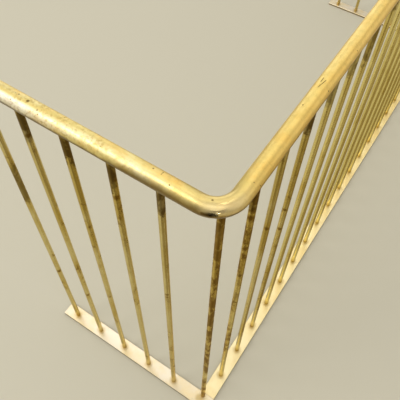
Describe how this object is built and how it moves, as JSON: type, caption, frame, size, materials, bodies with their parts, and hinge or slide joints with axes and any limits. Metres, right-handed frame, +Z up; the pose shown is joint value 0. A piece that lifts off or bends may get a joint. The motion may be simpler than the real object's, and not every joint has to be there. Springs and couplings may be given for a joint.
{
  "type": "nursery fire guard",
  "caption": "U-plan brass hearth guard: plain upright rods between a bent tubular top rail and a flat foot strip, open at the back, standing free on the floor.",
  "frame": {"origin": "on the floor, at the middle of the guard's footprint", "axes": "+X along the front, +Y back towards the wall (the front faces -Y), +Z up"},
  "size_m": [1.2256, 0.334, 0.64],
  "materials": {
    "rail_brass": "polished brass tube, worn, with fine pits, scratches and a darker underside",
    "rod_brass": "drawn brass rod, dull and olive with brown tarnish patches and spots",
    "strip_brass": "rolled brass strip, bright on top, stained round the rod feet"
  },
  "bodies": {
    "root": {"corner_rod_left": "rod_brass", "corner_rod_right": "rod_brass", "front_rod_01": "rod_brass", "front_rod_02": "rod_brass", "front_rod_03": "rod_brass", "front_rod_04": "rod_brass", "front_rod_05": "rod_brass", "front_rod_06": "rod_brass", "front_rod_07": "rod_brass", "front_rod_08": "rod_brass", "front_rod_09": "rod_brass", "front_rod_10": "rod_brass", "front_rod_11": "rod_brass", "front_rod_12": "rod_brass", "front_rod_13": "rod_brass", "front_rod_14": "rod_brass", "front_rod_15": "rod_brass", "front_rod_16": "rod_brass", "front_rod_17": "rod_brass", "front_rod_18": "rod_brass", "front_rod_19": "rod_brass", "front_rod_20": "rod_brass", "front_strip": "strip_brass", "left_rod_1": "rod_brass", "left_rod_2": "rod_brass", "left_rod_3": "rod_brass", "left_rod_4": "rod_brass", "left_rod_5": "rod_brass", "left_strip": "strip_brass", "rail_end_plug_left": "rail_brass", "rail_end_plug_right": "rail_brass", "right_rod_1": "rod_brass", "right_rod_2": "rod_brass", "right_rod_3": "rod_brass", "right_rod_4": "rod_brass", "right_rod_5": "rod_brass", "right_strip": "strip_brass", "top_rail": "rail_brass"}
  },
  "joints": []
}
